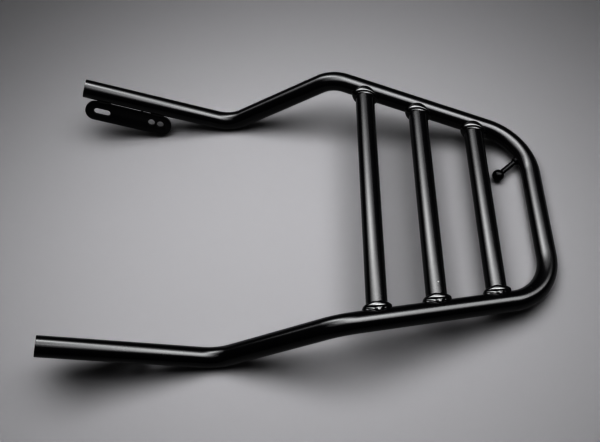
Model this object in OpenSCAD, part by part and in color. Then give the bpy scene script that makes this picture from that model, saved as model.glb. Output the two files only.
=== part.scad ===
// Tubular luggage rack for a motorcycle: one bent hoop, three cross tubes
// with saddle welds, a slotted bracket under each front arm and a ball peg.
// Millimetres. +X points to the rear, +Y to the far side, +Z up. The rack
// lies on its two low bends and its rear bar, as it does on a flat floor.

/* [Hoop] */

// Outer diameter of the hoop tube and the cross tubes
tube_d = 22; // [18:0.5:26]
// Wall thickness of every tube
tube_wall = 2; // [1.2:0.1:3]
// Length of the platform, from the upper bends to the rear bar
platform_l = 237; // [215:1:290]
// Width of the platform between the rails at the upper bends
front_w = 324; // [290:1:370]
// Width at the rear bar, where the rails would meet it without corners
rear_w = 210; // [190:1:240]
// Bend radius of the two rear corners
corner_r = 62.5; // [50:0.5:75]
// Bend radius of the upper and low bends
bend_r = 40; // [30:1:50]

/* [Legs] */

// Length of each riser, from the upper bend to the low bend
riser_l = 151; // [125:1:180]
// Angle of the risers below the plane of the platform
riser_angle = 44.5; // [36:0.5:50]
// Length of each front arm, from the low bend to its cut end
arm_l = 186; // [180:1:220]
// Angle of the arms above the plane of the platform
arm_rise = 5.6; // [2:0.1:12]
// Outward splay of the arms
arm_splay = 3.1; // [0:0.1:6]

/* [Cross tubes] */

// Cross tube nearest the rear bar, as a share of the platform length
rear_cross_share = 0.275; // [0.26:0.005:0.32]
// Middle cross tube, as a share of the platform length
middle_cross_share = 0.561; // [0.5:0.005:0.62]
// Front cross tube, as a share of the platform length
front_cross_share = 0.834; // [0.76:0.005:0.86]

/* [Welds] */

// Leg of a saddle weld along the rail and along the side of the cross tube
weld_leg = 4.6; // [3.5:0.1:5.5]
// Extra height of the saddle weld on top of the tubes
weld_crown = 2.2; // [1.2:0.1:2.6]
// Root gap between a coped tube end and the rail, which the weld closes
root_gap = 1.5; // [1.2:0.1:1.8]
// Depth of the weld ripple, as a share of the weld leg
ripple_share = 0.06; // [0:0.01:0.1]
// Number of ripples round one saddle weld
ripples = 15; // [8:1:20]

/* [Brackets] */

// Length of a bracket plate
plate_l = 108; // [100:1:120]
// Height of a bracket plate
plate_h = 24.4; // [22:0.2:30]
// Thickness of a bracket plate
plate_t = 4; // [3:0.5:6]
// Distance from the cut end of the arm to the bracket plate
plate_in = 5.2; // [3:0.1:10]
// Gap between the arm and the long top edge of the plate
plate_gap = 2.9; // [1:0.1:4]
// Inward swing of the plate from straight below the arm
plate_swing = 24; // [0:1:35]
// Diameter of the two round holes and height of the slot
hole_d = 9; // [6.5:0.5:10]
// Length of the slot
slot_l = 21; // [16:0.5:26]

/* [Ball peg] */

// Diameter of the ball
ball_d = 13.5; // [10:0.5:16]
// Diameter of the peg rod
rod_d = 6; // [4:0.5:8]
// Reach of the ball from the centre line of the hoop
peg_reach = 40.3; // [32:0.1:48]
// Place of the peg on the corner, as an angle from the rear bar
peg_angle = 24.9; // [15:0.1:55]
// Direction of the peg in the plane of the platform, from straight ahead
peg_turn = 40.3; // [20:0.1:60]
// Dip of the peg below the plane of the platform
peg_dip = 18.2; // [0:0.1:20]

/* [Hidden] */

// Node to build, or all of them

$fn = 64;

// Sides of the object, as the sign of Y
FAR = 1;
NEAR = -1;

tube_r = tube_d / 2;
bore_r = tube_r - tube_wall;
// Reach of a cutting solid past the face it cuts
over = tube_r / 4;

// Corner points of the centre line on one side, with the rear bar at zero
function corner(side) = [0, side * rear_w / 2, 0];
function upper_bend(side) = [-platform_l, side * front_w / 2, 0];
function low_bend(side) = upper_bend(side)
    + riser_l * [-cos(riser_angle), 0, -sin(riser_angle)];
function arm_dir(side) = [
    -cos(arm_rise) * cos(arm_splay),
    side * cos(arm_rise) * sin(arm_splay),
    sin(arm_rise)];
function arm_end(side) = low_bend(side) + arm_l * arm_dir(side);

function unit(v) = v / norm(v);
function turn_at(a, v, b) = acos(unit(v - a) * unit(b - v));
function bend_centre(a, v, b, r) = v
    + unit(unit(a - v) + unit(b - v)) * r / cos(turn_at(a, v, b) / 2);
// Matrix that puts the X, Y and Z axes along three vectors at a point
function placed(x, y, z, at) = [
    [x[0], y[0], z[0], at[0]],
    [x[1], y[1], z[1], at[1]],
    [x[2], y[2], z[2], at[2]],
    [0, 0, 0, 1]];

// Tilt of the platform when the low bends and the rear bar share a floor
low_centre = bend_centre(upper_bend(FAR), low_bend(FAR), arm_end(FAR), bend_r);
low_axis = unit(cross(low_bend(FAR) - upper_bend(FAR), arm_dir(FAR)));
function upright(t) = norm([
    low_axis[0] * cos(t) + low_axis[2] * sin(t), low_axis[1]]);
function tilt_for(h) = 180 + asin(bend_r * h / norm([low_centre[0], low_centre[2]]))
    + atan2(low_centre[2], low_centre[0]);
tilt = tilt_for(upright(tilt_for(upright(tilt_for(1)))));

// Length of the rack on the floor, which puts the origin at its middle
function floor_x(p) = p[0] * cos(tilt) + p[2] * sin(tilt);
arm_tip = floor_x(arm_end(FAR))
    - tube_r * sqrt(1 - pow(floor_x(arm_dir(FAR)), 2));
middle_x = (arm_tip + tube_r) / 2;

// Lays children out of the platform's own frame onto the floor
module on_floor() {
    translate([-middle_x, 0, tube_r])
        rotate([0, tilt, 0])
            children();
}

// Straight bar from one point to another, longer by a reach at each end
module bar(from, to, r, reach = 0) {
    d = unit(to - from);
    x = unit(cross(d, abs(d[2]) > abs(d[1]) ? [0, 1, 0] : [0, 0, 1]));
    multmatrix(placed(x, cross(d, x), d, from - reach * d))
        cylinder(r = r, h = norm(to - from) + 2 * reach);
}

// Corners of one half of the hoop's centre line, from the middle of the rear
// bar to the cut end of the arm, with the bend radius at each
function half_hoop(side) = [
    [0, 0, 0], corner(side), upper_bend(side), low_bend(side), arm_end(side)];
half_bends = [0, corner_r, bend_r, bend_r, 0];
REAR_BAR = 0;
RAIL = 1;
RISER = 2;
ARM = 3;
function way(side, i) = unit(half_hoop(side)[i + 1] - half_hoop(side)[i]);
function turn(i) = i == REAR_BAR || i > ARM ? 0
    : acos(way(FAR, i - 1) * way(FAR, i));
function trim(i) = half_bends[i] * tan(turn(i) / 2);
function straight_l(i) = norm(half_hoop(FAR)[i + 1] - half_hoop(FAR)[i])
    - trim(i) - trim(i + 1);
// Direction from a straight towards the inside of the bend that ends it
function bend_side(side, i) =
    let (a = way(side, i), b = way(side, min(i + 1, ARM)))
    i == ARM ? [0, 1, 0] : unit(b - (a * b) * a);

// Puts children that run along +Z, and bend towards +X, onto a straight
module on_straight(side, i) {
    d = way(side, i);
    x = unit(bend_side(side, i) - (bend_side(side, i) * d) * d);
    multmatrix(placed(x, cross(d, x), d, half_hoop(side)[i] + trim(i) * d))
        children();
}

// Straight of the hoop and the bend that ends it, as a solid bar
module bent_bar(i, r, reach = 0) {
    bend_radius = half_bends[i + 1];
    cylinder(r = r, h = straight_l(i) + reach);
    if (i != ARM)
        translate([bend_radius, 0, straight_l(i)])
            multmatrix(placed([-1, 0, 0], [0, 0, 1], [0, 1, 0], [0, 0, 0]))
                rotate_extrude(angle = turn(i + 1))
                    translate([bend_radius, 0])
                        circle(r = r);
}

// The same as a tube, with its bore run out past a cut end
module bent_tube(side, i) {
    color("#141416")
        on_floor()
            on_straight(side, i)
                difference() {
                    bent_bar(i, tube_r);
                    bent_bar(i, bore_r, i == ARM ? over : 0);
                }
}

module rear_half(side, r) {
    on_straight(side, REAR_BAR)
        bent_bar(REAR_BAR, r);
}

module rear_loop() {
    color("#141416")
        on_floor()
            difference() {
                union() {
                    rear_half(FAR, tube_r);
                    rear_half(NEAR, tube_r);
                }
                union() {
                    rear_half(FAR, bore_r);
                    rear_half(NEAR, bore_r);
                }
            }
}

module rail_far() {
    bent_tube(FAR, RAIL);
}

module rail_near() {
    bent_tube(NEAR, RAIL);
}

module riser_far() {
    bent_tube(FAR, RISER);
}

module riser_near() {
    bent_tube(NEAR, RISER);
}

module arm_far() {
    bent_tube(FAR, ARM);
}

module arm_near() {
    bent_tube(NEAR, ARM);
}

// Half width between the rails at a place x on the platform
rail_slope = (front_w - rear_w) / 2 / platform_l;
rail_taper = atan(rail_slope);
function half_width(x) = rear_w / 2 - x * rail_slope;

// Radius of the cope in the end of a cross tube
cope_r = tube_r + root_gap;

// Straight tube between the rails, coped to their round sides
module cross_tube(share) {
    x = -share * platform_l;
    w = half_width(x);
    color("#141416")
        on_floor()
            difference() {
                bar([x, -w, 0], [x, w, 0], tube_r);
                bar([x, -w, 0], [x, w, 0], bore_r, over);
                bar(corner(FAR), upper_bend(FAR), cope_r);
                bar(corner(NEAR), upper_bend(NEAR), cope_r);
            }
}

module cross_tube_rear() {
    cross_tube(rear_cross_share);
}

module cross_tube_middle() {
    cross_tube(middle_cross_share);
}

module cross_tube_front() {
    cross_tube(front_cross_share);
}

// Bead of weld: rings of points joined into a tube, closed or with two ends
module bead(rings, closed) {
    n = len(rings);
    m = len(rings[0]);
    spans = closed ? n : n - 1;
    sides = [for (i = [0 : spans - 1], j = [0 : m - 1])
        let (a = i * m, b = (i + 1) % n * m, k = (j + 1) % m)
        each [[a + j, a + k, b + k], [a + j, b + k, b + j]]];
    caps = closed ? [] : [
        [for (j = [0 : m - 1]) m - 1 - j],
        [for (j = [0 : m - 1]) (n - 1) * m + j]];
    polyhedron(
        points = [for (ring = rings, p = ring) p],
        faces = concat(sides, caps));
}

// Section of a bead: root, a toe on each surface and a bulging face between
face_steps = 5;
quarter_turn = 90;
function section(root, toe_a, toe_b, normal, crown) = concat(
    [root, toe_a],
    [for (k = [1 : face_steps - 1])
        let (t = quarter_turn * k / face_steps)
        root + (toe_a - root) * cos(t) + (toe_b - root) * sin(t)
            + normal * crown * sin(2 * t)],
    [toe_b]);

// Lumpiness of a weld: even ripples and a slow uneven swell, shifted by a seed
swell_share = 0.05;
swell_turns = [2, 3];
seed_shifts = [50, 70];
function lumps(t, seed) = 1 - ripple_share * pow(abs(sin(t * ripples / 2 + seed)), 2)
    + swell_share * sin(swell_turns[0] * t + seed_shifts[0] * seed)
        * cos(swell_turns[1] * t - seed_shifts[1] * seed);

// Saddle weld where a cross tube meets a rail. At the angle t round the cross
// tube, a ring starts on the edge of the coped end, runs down the cross tube
// to its toe, bulges over to the toe on the rail and follows the rail back
saddle_steps = 72;
foot_steps = 3;
// Radius at which the bead's flats just touch the round tubes
touch_r = tube_r / cos(180 / saddle_steps);
// Share of the leg that the bead climbs up the rail on top of the tubes
top_leg_share = 0.3;
// Share of the rail's slant that the toe on the cross tube takes on
toe_slant_share = 0.35;
// Share of the crown that is left where the bead runs along the side
side_crown_share = 0.35;
function saddle_crown(t) = side_crown_share + (1 - side_crown_share) * pow(sin(t), 2);
function saddle_ring(x, side, t, seed) =
    let (
        along = [cos(rail_taper), -side * sin(rail_taper), 0],
        out = [sin(rail_taper), side * cos(rail_taper), 0],
        height = touch_r * sin(t),
        shift = touch_r * cos(t),
        leg = weld_leg * lumps(t, seed),
        rise = asin(height / cope_r),
        end_y = half_width(x + shift) - cope_r * cos(rise) / cos(rail_taper),
        toe_y = min(
            half_width(x + shift * toe_slant_share) - (tube_r + leg) / cos(rail_taper),
            end_y - root_gap / 2),
        end = [x + shift, side * end_y, height],
        toe = [x + shift, side * toe_y, height],
        axis = end + cope_r * (out * cos(rise) - [0, 0, sin(rise)]),
        foot = [for (k = [0 : foot_steps])
            let (
                reach = leg * k / foot_steps,
                lift = rise + reach * top_leg_share * sin(t) / tube_r * 180 / PI)
            axis + reach * cos(t) * along
                + touch_r * (-out * cos(lift) + [0, 0, sin(lift)])],
        normal = unit([cos(t), 0, sin(t)] - out * cos(rise) + [0, 0, sin(rise)]),
        crown = weld_crown * saddle_crown(t) * lumps(t, seed),
        ring = concat(
            section(end, toe, foot[foot_steps], normal, crown),
            [for (k = [foot_steps - 1 : -1 : 0]) foot[k]]))
    side > 0 ? ring : [for (i = [len(ring) - 1 : -1 : 0]) ring[i]];

module saddle_weld(share, side, seed) {
    x = -share * platform_l;
    color("#1c1c1f")
        on_floor()
            bead([for (i = [0 : saddle_steps - 1])
                saddle_ring(x, side, i * 360 / saddle_steps, seed)], true);
}

module weld_rear_far() {
    saddle_weld(rear_cross_share, FAR, 1);
}

module weld_middle_far() {
    saddle_weld(middle_cross_share, FAR, 2);
}

module weld_front_far() {
    saddle_weld(front_cross_share, FAR, 3);
}

module weld_rear_near() {
    saddle_weld(rear_cross_share, NEAR, 4);
}

module weld_middle_near() {
    saddle_weld(middle_cross_share, NEAR, 5);
}

module weld_front_near() {
    saddle_weld(front_cross_share, NEAR, 6);
}

// Axes of a bracket plate: along the arm from its cut end, and down the
// plate from the centre line of the arm
function down_arm(side) = -arm_dir(side);
function plate_down(side) =
    let (
        level = unit(cross([0, 1, 0], arm_dir(side))),
        below = level[2] < 0 ? level : -level,
        inward = unit(cross(arm_dir(side), below)),
        inner = inward[1] * side < 0 ? inward : -inward)
    below * cos(plate_swing) + inner * sin(plate_swing);

// Puts children drawn in the plate's plane onto the arm of one side, with
// the plate's thickness centred on the plane
module on_plate(side) {
    x = down_arm(side);
    y = plate_down(side);
    on_floor()
        multmatrix(placed(x, y, cross(x, y), arm_end(side)))
            children();
}

plate_top = tube_r + plate_gap;
plate_r = plate_h / 2;
plate_mid = plate_top + plate_r;
// Shares of the plate's length: a land, and the places of slot, tack and holes
land_share = 0.155;
slot_share = 0.191;
tack_share = 0.632;
hole_shares = [0.763, 0.867];
// Share of the plate's height by which the two holes sit above its middle
hole_rise_share = 0.07;
// Diameter of the tack as a share of the plate's thickness
tack_share_of_t = 0.75;
// Lands of the plate that reach up to the arm, from the cut end of the arm
land_l = plate_l * land_share;
land_end_x = plate_in + plate_r + land_l / 2;
land_bend_x = plate_in + plate_l - plate_r - land_l / 2;
slot_x = plate_in + plate_l * slot_share;
hole_y = plate_mid - plate_h * hole_rise_share;
tack_x = plate_in + plate_l * tack_share;
tack_d = plate_t * tack_share_of_t;

module plate_disc(x, y, r) {
    translate([x, y, -plate_t / 2])
        cylinder(r = r, h = plate_t);
}

module plate_bar(x, y, l, h) {
    translate([x - l / 2, y - h / 2, -plate_t / 2])
        cube([l, h, plate_t]);
}

module plate_hole(x, y) {
    translate([x, y, -plate_t])
        cylinder(d = hole_d, h = 2 * plate_t);
}

module plate_cut(x, y, l) {
    plate_hole(x - l / 2, y);
    plate_hole(x + l / 2, y);
    translate([x - l / 2, y - hole_d / 2, -plate_t])
        cube([l, hole_d, 2 * plate_t]);
}

module bracket(side) {
    color("#141416")
        on_plate(side)
            difference() {
                union() {
                    plate_disc(plate_in + plate_r, plate_mid, plate_r);
                    plate_disc(plate_in + plate_l - plate_r, plate_mid, plate_r);
                    plate_bar(plate_in + plate_l / 2, plate_mid, plate_l - plate_h, plate_h);
                    plate_bar(land_end_x, plate_mid / 2, land_l, plate_mid);
                    plate_bar(land_bend_x, plate_mid / 2, land_l, plate_mid);
                }
                rotate([0, 90, 0])
                    cylinder(r = tube_r, h = arm_l);
                plate_cut(slot_x, plate_mid, slot_l - hole_d);
                for (share = hole_shares)
                    plate_hole(plate_in + plate_l * share, hole_y);
            }
}

module bracket_far() {
    bracket(FAR);
}

module bracket_near() {
    bracket(NEAR);
}

// Faces of a plate, towards the middle of the rack and away from it
INNER = -1;
OUTER = 1;

// Fillet weld along one face of a land, from the arm down the plate
fillet_steps = 30;
fillet_leg_share = 0.9;
fillet_crown_share = 0.12;
// Share of the land that the bead covers, and of its leg left at each end
fillet_reach_share = 0.98;
fillet_end_share = 0.2;
// Part of a full turn whose ripples and swell the bead shows
fillet_turn = 140;
fillet_leg = plate_gap * fillet_leg_share;
// Radius at which the flats of the bead's foot just touch the arm
fillet_r = tube_r / cos(fillet_leg / foot_steps / tube_r * 90 / PI);
function fillet_taper(s) = sqrt(1 + pow(fillet_end_share, 2) - pow(2 * s - 1, 4));
function fillet_ring(x, face, k, seed) =
    let (
        s = k / fillet_steps,
        leg = fillet_leg * fillet_taper(s) * lumps(s * fillet_turn, seed),
        rise = asin(plate_t / 2 / fillet_r),
        at = x + land_l * (s - 1 / 2) * fillet_reach_share,
        foot = [for (k = [0 : foot_steps])
            let (lift = rise + leg * k / foot_steps / tube_r * 180 / PI)
            [at, fillet_r * cos(lift), face * fillet_r * sin(lift)]],
        toe = foot[0] + [0, leg, 0],
        ring = concat(
            section(foot[0], toe, foot[foot_steps], unit([0, 1, face]),
                leg * fillet_crown_share),
            [for (k = [foot_steps - 1 : -1 : 1]) foot[k]]))
    face < 0 ? ring : [for (i = [len(ring) - 1 : -1 : 0]) ring[i]];

module fillet_weld(side, x, face, seed) {
    rings = [for (k = [0 : fillet_steps]) fillet_ring(x, side * face, k, seed)];
    color("#1c1c1f")
        on_plate(side)
            bead(rings, false);
}

module bracket_weld_end_far() {
    fillet_weld(FAR, land_end_x, INNER, 1);
}

module bracket_weld_end_near() {
    fillet_weld(NEAR, land_end_x, INNER, 2);
}

module bracket_weld_bend_far() {
    fillet_weld(FAR, land_bend_x, INNER, 3);
}

module bracket_weld_bend_near() {
    fillet_weld(NEAR, land_bend_x, INNER, 4);
}

module bracket_backweld_end_far() {
    fillet_weld(FAR, land_end_x, OUTER, 5);
}

module bracket_backweld_end_near() {
    fillet_weld(NEAR, land_end_x, OUTER, 6);
}

module bracket_backweld_bend_far() {
    fillet_weld(FAR, land_bend_x, OUTER, 7);
}

module bracket_backweld_bend_near() {
    fillet_weld(NEAR, land_bend_x, OUTER, 8);
}

// Tack between the lands, from the arm to the top edge of the plate
module bracket_tack(side) {
    color("#1c1c1f")
        on_plate(side)
            difference() {
                translate([tack_x, 0, 0])
                    rotate([-90, 0, 0])
                        cylinder(d = tack_d, h = plate_top);
                rotate([0, 90, 0])
                    cylinder(r = tube_r, h = arm_l);
            }
}

module bracket_tack_far() {
    bracket_tack(FAR);
}

module bracket_tack_near() {
    bracket_tack(NEAR);
}

// Root and ball centre of the peg, on the centre line of the far corner
corner_centre = bend_centre(upper_bend(FAR), corner(FAR), corner(NEAR), corner_r);
peg_root = corner_centre + corner_r * [cos(peg_angle), sin(peg_angle), 0];
peg_dir = [
    -cos(peg_turn) * cos(peg_dip),
    -sin(peg_turn) * cos(peg_dip),
    -sin(peg_dip)];
peg_ball = peg_root + peg_reach * peg_dir;
// Radius of the weld round the rod, as a share of the rod's diameter
peg_weld_share = 0.85;
peg_weld_r = rod_d * peg_weld_share;
peg_weld_sides = 160;

module ball_peg() {
    color("#141416")
        on_floor()
            difference() {
                union() {
                    bar(peg_root, peg_ball, rod_d / 2);
                    translate(peg_ball)
                        sphere(d = ball_d);
                }
                rear_half(FAR, tube_r);
            }
}

module peg_weld() {
    color("#1c1c1f")
        on_floor()
            difference() {
                translate(peg_root + peg_dir * tube_r)
                    sphere(r = peg_weld_r, $fn = peg_weld_sides);
                rear_half(FAR, tube_r);
                bar(peg_root, peg_ball, rod_d / 2);
            }
}

rear_loop();
rail_far();
rail_near();
riser_far();
riser_near();
arm_far();
arm_near();
cross_tube_rear();
cross_tube_middle();
cross_tube_front();
weld_rear_far();
weld_middle_far();
weld_front_far();
weld_rear_near();
weld_middle_near();
weld_front_near();
bracket_far();
bracket_near();
bracket_weld_end_far();
bracket_weld_end_near();
bracket_weld_bend_far();
bracket_weld_bend_near();
bracket_backweld_end_far();
bracket_backweld_end_near();
bracket_backweld_bend_far();
bracket_backweld_bend_near();
bracket_tack_far();
bracket_tack_near();
ball_peg();
peg_weld();
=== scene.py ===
"""Looks of a tubular luggage rack: bent hoop, cross tubes, weld beads, slotted plates and a ball peg.

The sizes are those of the CAD source, in millimetres. Each piece is built in the frame of the platform and
then laid on the floor, in metres, on the rack's two low bends and its rear bar.
"""

import logging
import math
from dataclasses import dataclass
from enum import Enum
from functools import cached_property

import bpy
from mathutils import Matrix, Vector


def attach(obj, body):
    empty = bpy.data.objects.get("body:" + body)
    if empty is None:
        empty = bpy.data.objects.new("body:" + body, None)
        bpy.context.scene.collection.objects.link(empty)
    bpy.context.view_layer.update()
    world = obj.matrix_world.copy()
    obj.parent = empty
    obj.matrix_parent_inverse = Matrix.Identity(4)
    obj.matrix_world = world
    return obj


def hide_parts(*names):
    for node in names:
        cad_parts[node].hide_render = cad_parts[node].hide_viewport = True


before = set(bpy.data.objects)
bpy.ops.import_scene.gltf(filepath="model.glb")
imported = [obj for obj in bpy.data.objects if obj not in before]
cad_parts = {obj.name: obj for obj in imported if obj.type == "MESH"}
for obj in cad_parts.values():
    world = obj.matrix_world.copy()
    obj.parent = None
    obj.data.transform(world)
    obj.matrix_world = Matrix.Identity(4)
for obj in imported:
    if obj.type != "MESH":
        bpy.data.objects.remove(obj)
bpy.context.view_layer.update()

log = logging.getLogger("rack")

METRES = 0.001
BEND_SLACK = 0.5
WELD_TOLERANCE = 0.001
SHARP_EDGE = 50.0
TUBE_ANGLE = 40.0
TURNED_ANGLE = 35.0
WELD_ANGLE = 60.0
HALVINGS = 20

Pair = tuple[float, float]
Triple = tuple[float, float, float]


class Side(Enum):
    """Side of the rack, as the sign of its Y."""

    FAR = 1
    NEAR = -1


class Cross(Enum):
    """Cross tube, as its share of the platform's length from the rear bar."""

    REAR = 0.275
    MIDDLE = 0.561
    FRONT = 0.834


class Face(Enum):
    """Face of a bracket plate."""

    INNER = -1
    OUTER = 1


# Geometry of the rack


@dataclass(frozen=True)
class RackPlan:
    """Centre lines of the rack, in millimetres, with the rear bar at the zero of the platform's own frame.

    Attributes:
        tube_r: Radius of every tube.
        tube_wall: Wall of every tube.
        platform_l: Length from the rear bar to the upper bends.
        front_w: Width between the rails' centre lines at the upper bends.
        rear_w: Width between them at the rear bar.
        corner_r: Bend radius of the two rear corners.
        bend_r: Bend radius of the other four bends.
        riser_l: Length of a riser between its corners.
        riser_angle: Slope of a riser below the platform, in degrees.
        arm_l: Length of an arm from its corner to its cut end.
        arm_rise: Rise of an arm towards its cut end, in degrees.
        arm_splay: Turn of an arm away from the middle line, in degrees.
    """

    tube_r: float = 11.0
    tube_wall: float = 2.0
    platform_l: float = 237.0
    front_w: float = 324.0
    rear_w: float = 210.0
    corner_r: float = 62.5
    bend_r: float = 40.0
    riser_l: float = 151.0
    riser_angle: float = 44.5
    arm_l: float = 186.0
    arm_rise: float = 5.6
    arm_splay: float = 3.1

    def corner(self, side: Side) -> Vector:
        """Corner of the rail and the rear bar, before it is rounded."""
        return Vector((0.0, side.value * self.rear_w / 2, 0.0))

    def upper_bend(self, side: Side) -> Vector:
        """Corner of the rail and the riser."""
        return Vector((-self.platform_l, side.value * self.front_w / 2, 0.0))

    def low_bend(self, side: Side) -> Vector:
        """Corner of the riser and the arm."""
        a = math.radians(self.riser_angle)
        return self.upper_bend(side) + self.riser_l * Vector((-math.cos(a), 0.0, -math.sin(a)))

    def arm_dir(self, side: Side) -> Vector:
        """Direction of an arm towards its cut end."""
        rise, splay = math.radians(self.arm_rise), math.radians(self.arm_splay)
        return Vector((
            -math.cos(rise) * math.cos(splay),
            side.value * math.cos(rise) * math.sin(splay),
            math.sin(rise),
        ))

    def arm_end(self, side: Side) -> Vector:
        """Middle of an arm's cut end."""
        return self.low_bend(side) + self.arm_l * self.arm_dir(side)

    @property
    def taper(self) -> float:
        """Angle between a rail and the middle line, in radians."""
        return math.atan((self.front_w - self.rear_w) / 2 / self.platform_l)

    def half_width(self, x: float) -> float:
        """Distance of a rail's centre line from the middle line.

        Args:
            x: Place along the platform, zero at the rear bar.

        Returns:
            Half of the width between the rails' centre lines.
        """
        return self.rear_w / 2 - x * math.tan(self.taper)

    def on_floor(self) -> Matrix:
        """Matrix from the platform's own frame, in millimetres, to the floor's frame, in metres."""
        upper, low, end = self.upper_bend(Side.FAR), self.low_bend(Side.FAR), self.arm_end(Side.FAR)
        arc = bend_centre(upper, low, end, self.bend_r)
        axis = (low - upper).cross(self.arm_dir(Side.FAR)).normalized()
        tilt, upright = 0.0, 1.0
        for _ in range(3):
            reach = self.bend_r * upright / math.hypot(arc.x, arc.z)
            tilt = math.pi + math.asin(reach) + math.atan2(arc.z, arc.x)
            upright = math.hypot(axis.x * math.cos(tilt) + axis.z * math.sin(tilt), axis.y)
        turn = Matrix.Rotation(tilt, 4, "Y")
        way = turn @ self.arm_dir(Side.FAR)
        tip = (turn @ end).x - self.tube_r * math.sqrt(1 - way.x**2)
        middle = (tip + self.tube_r) / 2
        return Matrix.Scale(METRES, 4) @ Matrix.Translation((-middle, 0.0, self.tube_r)) @ turn


def bend_centre(a: Vector, v: Vector, b: Vector, radius: float) -> Vector:
    """Centre of the arc that rounds the corner v of the line a, v, b."""
    back, on = (a - v).normalized(), (b - v).normalized()
    half = (math.pi - back.angle(on)) / 2
    return v + (back + on).normalized() * radius / math.cos(half)


PLAN = RackPlan()


# Modelling helpers


def deselect() -> None:
    """Leaves nothing selected and no object in edit mode."""
    if bpy.context.object and bpy.context.object.mode != "OBJECT":
        bpy.ops.object.mode_set(mode="OBJECT")
    bpy.ops.object.select_all(action="DESELECT")


def take(obj: bpy.types.Object) -> None:
    """Makes one object the selected and active one."""
    deselect()
    obj.select_set(True)
    bpy.context.view_layer.objects.active = obj


def apply(obj: bpy.types.Object, kind: str, **settings: object) -> None:
    """Adds one modifier with its settings and applies it.

    Args:
        obj: Object that gets the modifier.
        kind: Blender's name for the kind of modifier.
        **settings: Values set on the modifier.
    """
    take(obj)
    modifier = obj.modifiers.new(kind.title(), kind)
    for name, value in settings.items():
        setattr(modifier, name, value)
    bpy.ops.object.modifier_apply(modifier=modifier.name)


def settle(obj: bpy.types.Object, place: Matrix) -> None:
    """Puts an object's place and scale into its mesh, so that the object stays at the origin.

    Args:
        obj: Object whose mesh is still in the frame that it was drawn in.
        place: Matrix from that frame to the floor's frame.
    """
    deselect()
    obj.data.transform(obj.matrix_world)
    obj.matrix_world = Matrix.Identity(4)
    obj.data.transform(place)
    obj.data.update()


def point_out(obj: bpy.types.Object) -> None:
    """Merges doubled points and turns every face outwards."""
    take(obj)
    bpy.ops.object.mode_set(mode="EDIT")
    bpy.ops.mesh.select_all(action="SELECT")
    bpy.ops.mesh.remove_doubles(threshold=WELD_TOLERANCE)
    bpy.ops.mesh.normals_make_consistent(inside=False)
    bpy.ops.object.mode_set(mode="OBJECT")


def smooth(obj: bpy.types.Object, degrees: float) -> None:
    """Shades an object smooth, apart from edges sharper than an angle."""
    take(obj)
    bpy.ops.object.shade_smooth_by_angle(angle=math.radians(degrees))


def ring_at(name: str, at: Vector, way: Vector, radius: float, sides: int) -> bpy.types.Object:
    """Adds a ring of points square to a direction and opens it in edit mode, selected.

    Args:
        name: Name of the new object.
        at: Middle of the ring.
        way: Direction that the ring faces.
        radius: Radius of the ring.
        sides: Number of points.

    Returns:
        The new object, in edit mode.
    """
    deselect()
    turn = way.to_track_quat("Z", "Y").to_euler()
    bpy.ops.mesh.primitive_circle_add(vertices=sides, radius=radius, location=at, rotation=turn)
    obj = bpy.context.object
    obj.name = name
    bpy.ops.object.transform_apply(location=True, rotation=True, scale=True)
    bpy.ops.object.mode_set(mode="EDIT")
    bpy.ops.mesh.select_all(action="SELECT")
    return obj


def push(by: Vector) -> None:
    """Extrudes the selected ring by a vector."""
    bpy.ops.mesh.extrude_region_move(TRANSFORM_OT_translate={"value": by})


def swing(obj: bpy.types.Object, centre: Vector, axis: Vector, angle: float, steps: int) -> None:
    """Spins the selected ring round an axis, as a tube bender does.

    Args:
        obj: Object in edit mode.
        centre: Point on the axis.
        axis: Direction of the axis.
        angle: Turn in radians, right-handed about the axis.
        steps: Number of rings in the bend.
    """
    before = picked(obj)
    wanted = centre + Matrix.Rotation(angle, 4, axis) @ (before - centre)
    bpy.ops.mesh.spin(steps=steps, angle=-angle, center=centre, axis=axis)
    got = picked(obj)
    if (got - wanted).length > BEND_SLACK:
        raise RuntimeError(f"a bend of {obj.name} ended {(got - wanted).length:.2f} mm away from its place")


def picked(obj: bpy.types.Object) -> Vector:
    """Middle of the selected points of an object in edit mode."""
    obj.update_from_editmode()
    chosen = [v.co for v in obj.data.vertices if v.select]
    return sum(chosen, Vector()) / len(chosen)


# Finishes


Value = bpy.types.NodeSocket | float | tuple[float, ...]


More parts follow.
